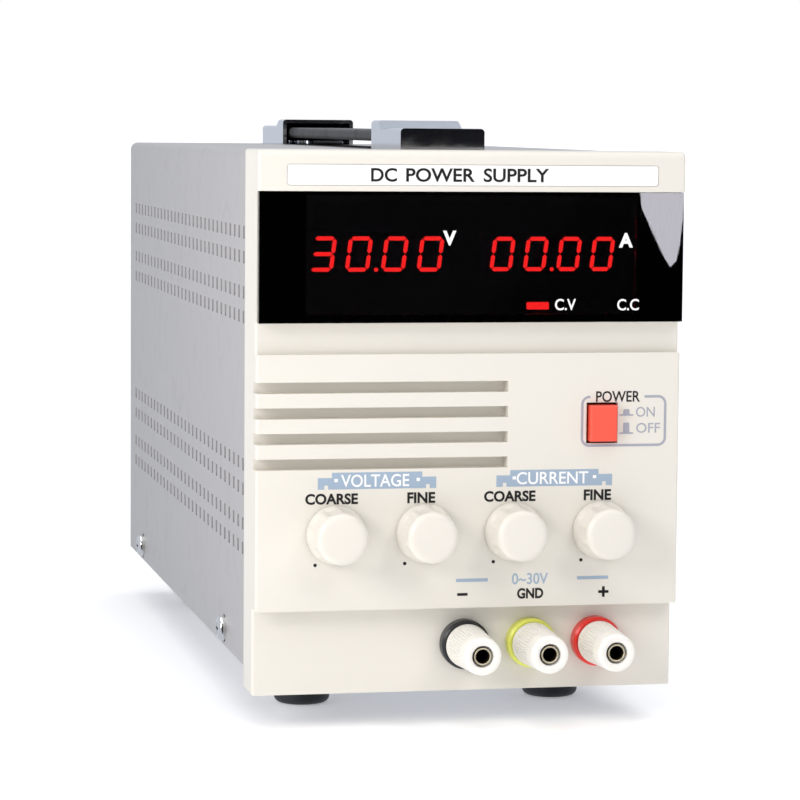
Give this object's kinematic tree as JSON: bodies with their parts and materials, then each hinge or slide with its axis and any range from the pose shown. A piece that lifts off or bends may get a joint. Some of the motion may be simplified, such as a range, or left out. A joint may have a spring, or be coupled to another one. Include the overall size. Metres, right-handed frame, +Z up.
{
  "type": "bench power supply",
  "caption": "Benchtop DC power supply: slotted metal case, ivory front with red digits, fluted knobs, power button, binding posts, strap handle and rear fan.",
  "frame": {"origin": "middle of the whole object's box in X and Y, on the plane that the feet rest on", "axes": "+X to the right of the front, +Y from the front to the back, +Z up; the front faces -Y"},
  "size_m": [0.1284, 0.3186, 0.1762],
  "materials": {
    "bezel_plastic": "fine moulded grain, satin",
    "knob_plastic": "smooth moulded, satin",
    "smoked_pane": "polished smoked pane",
    "label_print": "printed inlay",
    "cover_paint": "fine textured powder coat",
    "rear_paint": "fine textured powder coat",
    "chassis_steel": "zinc-plated sheet",
    "bright_screw": "bright nickel plate",
    "zinc_screw": "zinc plate",
    "foot_rubber": "moulded, matt",
    "cap_chrome": "polished chrome plate",
    "strap_rubber": "soft vinyl, satin",
    "board_green": "solder mask",
    "digit_red": "lit red segments in a dark face",
    "indicator_red": "clear red lens",
    "pot_metal": "stamped case",
    "button_red": "moulded, satin",
    "switch_black": "moulded",
    "nickel_plate": "nickel plate",
    "insulator_fibre": "fibre",
    "tinned_brass": "tinned",
    "core_steel": "lacquered laminations",
    "coil_tape": "polyester tape",
    "capacitor_sleeve": "shrunk sleeve",
    "lead_sleeve": "insulated wire",
    "heatsink_aluminium": "extruded, natural",
    "device_black": "moulded epoxy",
    "fan_plastic": "moulded, glass filled",
    "bright_wire": "bright nickel plate",
    "inlet_plastic": "moulded",
    "fuse_glass": "glass tube with plated ends",
    "collar_black": "moulded",
    "collar_green": "moulded, yellow-green",
    "collar_red": "moulded",
    "post_cap_plastic": "moulded nylon"
  },
  "bodies": {
    "case": {"board_screws": "zinc_screw", "board_spacers": "nickel_plate", "chassis_screws": "zinc_screw", "chassis_tray": "chassis_steel", "collar_ground": "collar_green", "collar_negative": "collar_black", "collar_positive": "collar_red", "control_board": "board_green", "cover_screws": "bright_screw", "digit_modules": "digit_red", "display_board": "board_green", "display_window": "smoked_pane", "fan_frame": "fan_plastic", "fan_guard": "bright_wire", "fan_screws": "zinc_screw", "front_bezel": "bezel_plastic", "front_plate": "chassis_steel", "fuse_holder": "inlet_plastic", "handle_end_caps": "cap_chrome", "handle_strap": "strap_rubber", "heatsink": "heatsink_aluminium", "indicator_lights": "indicator_red", "inlet_pins": "nickel_plate", "label_strip": "label_print", "main_board": "board_green", "main_board_parts": "capacitor_sleeve", "mains_inlet": "inlet_plastic", "output_leads": "lead_sleeve", "post_insulators": "insulator_fibre", "post_nuts": "nickel_plate", "post_studs": "nickel_plate", "potentiometer_nuts": "zinc_screw", "potentiometers": "pot_metal", "power_switch_body": "switch_black", "power_transistors": "device_black", "rear_panel": "rear_paint", "rubber_feet": "foot_rubber", "solder_lugs": "tinned_brass", "top_cover": "cover_paint", "transformer_bracket": "chassis_steel", "transformer_coil": "coil_tape", "transformer_core": "core_steel"},
    "voltage_coarse": {"knob_voltage_coarse": "knob_plastic", "shaft_voltage_coarse": "nickel_plate"},
    "voltage_fine": {"knob_voltage_fine": "knob_plastic", "shaft_voltage_fine": "nickel_plate"},
    "current_coarse": {"knob_current_coarse": "knob_plastic", "shaft_current_coarse": "nickel_plate"},
    "current_fine": {"knob_current_fine": "knob_plastic", "shaft_current_fine": "nickel_plate"},
    "button": {"power_button": "button_red"},
    "washer_negative": {"clamp_washer_negative": "nickel_plate"},
    "cap_negative": {"screw_cap_negative": "post_cap_plastic"},
    "washer_ground": {"clamp_washer_ground": "nickel_plate"},
    "cap_ground": {"screw_cap_ground": "post_cap_plastic"},
    "washer_positive": {"clamp_washer_positive": "nickel_plate"},
    "cap_positive": {"screw_cap_positive": "post_cap_plastic"},
    "rotor": {"fan_rotor": "fan_plastic"},
    "fuse": {"fuse_link": "fuse_glass"},
    "fuse_cap": {"fuse_cap": "inlet_plastic"}
  },
  "joints": [
    {"name": "voltage_coarse_turn", "type": "hinge", "parent": "case", "child": "voltage_coarse", "pos_m": [-0.0393, -0.14037, 0.0581], "axis": [0, 1, 0], "range_deg": [-150, 150]},
    {"name": "voltage_fine_turn", "type": "hinge", "parent": "case", "child": "voltage_fine", "pos_m": [-0.0131, -0.14037, 0.0581], "axis": [0, 1, 0], "range_deg": [-150, 150]},
    {"name": "current_coarse_turn", "type": "hinge", "parent": "case", "child": "current_coarse", "pos_m": [0.0131, -0.14037, 0.0581], "axis": [0, 1, 0], "range_deg": [-150, 150]},
    {"name": "current_fine_turn", "type": "hinge", "parent": "case", "child": "current_fine", "pos_m": [0.0393, -0.14037, 0.0581], "axis": [0, 1, 0], "range_deg": [-150, 150]},
    {"name": "power_press", "type": "slide", "parent": "case", "child": "button", "axis": [0, -1, 0], "range_m": [0, 0.0035]},
    {"name": "washer_negative_slide", "type": "slide", "parent": "case", "child": "washer_negative", "axis": [0, -1, 0], "range_m": [0, 0.0049]},
    {"name": "cap_negative_turn", "type": "hinge", "parent": "washer_negative", "child": "cap_negative", "pos_m": [0, -0.13928, 0.0248], "axis": [0, -1, 0], "range_deg": [0, 2160]},
    {"name": "washer_ground_slide", "type": "slide", "parent": "case", "child": "washer_ground", "axis": [0, -1, 0], "range_m": [0, 0.0049]},
    {"name": "cap_ground_turn", "type": "hinge", "parent": "washer_ground", "child": "cap_ground", "pos_m": [0.0197, -0.13928, 0.0248], "axis": [0, -1, 0], "range_deg": [0, 2160]},
    {"name": "washer_positive_slide", "type": "slide", "parent": "case", "child": "washer_positive", "axis": [0, -1, 0], "range_m": [0, 0.0049]},
    {"name": "cap_positive_turn", "type": "hinge", "parent": "washer_positive", "child": "cap_positive", "pos_m": [0.0394, -0.13928, 0.0248], "axis": [0, -1, 0], "range_deg": [0, 2160]},
    {"name": "fan_spin", "type": "hinge", "parent": "case", "child": "rotor", "pos_m": [0, 0.12302, 0.109], "axis": [0, 1, 0], "continuous": true},
    {"name": "fuse_slide", "type": "slide", "parent": "case", "child": "fuse", "axis": [0, 1, 0], "range_m": [0, 0.0046]},
    {"name": "fuse_cap_turn", "type": "hinge", "parent": "fuse", "child": "fuse_cap", "pos_m": [-0.028, 0.14922, 0.043], "axis": [0, 1, 0], "range_deg": [0, 1080]}
  ],
  "couplings": [
    {"joint": "washer_negative_slide", "follows": "cap_negative_turn", "m_per_rad": 0.00012732},
    {"joint": "washer_ground_slide", "follows": "cap_ground_turn", "m_per_rad": 0.00012732},
    {"joint": "washer_positive_slide", "follows": "cap_positive_turn", "m_per_rad": 0.00012732},
    {"joint": "fuse_slide", "follows": "fuse_cap_turn", "m_per_rad": 0.00023873}
  ]
}
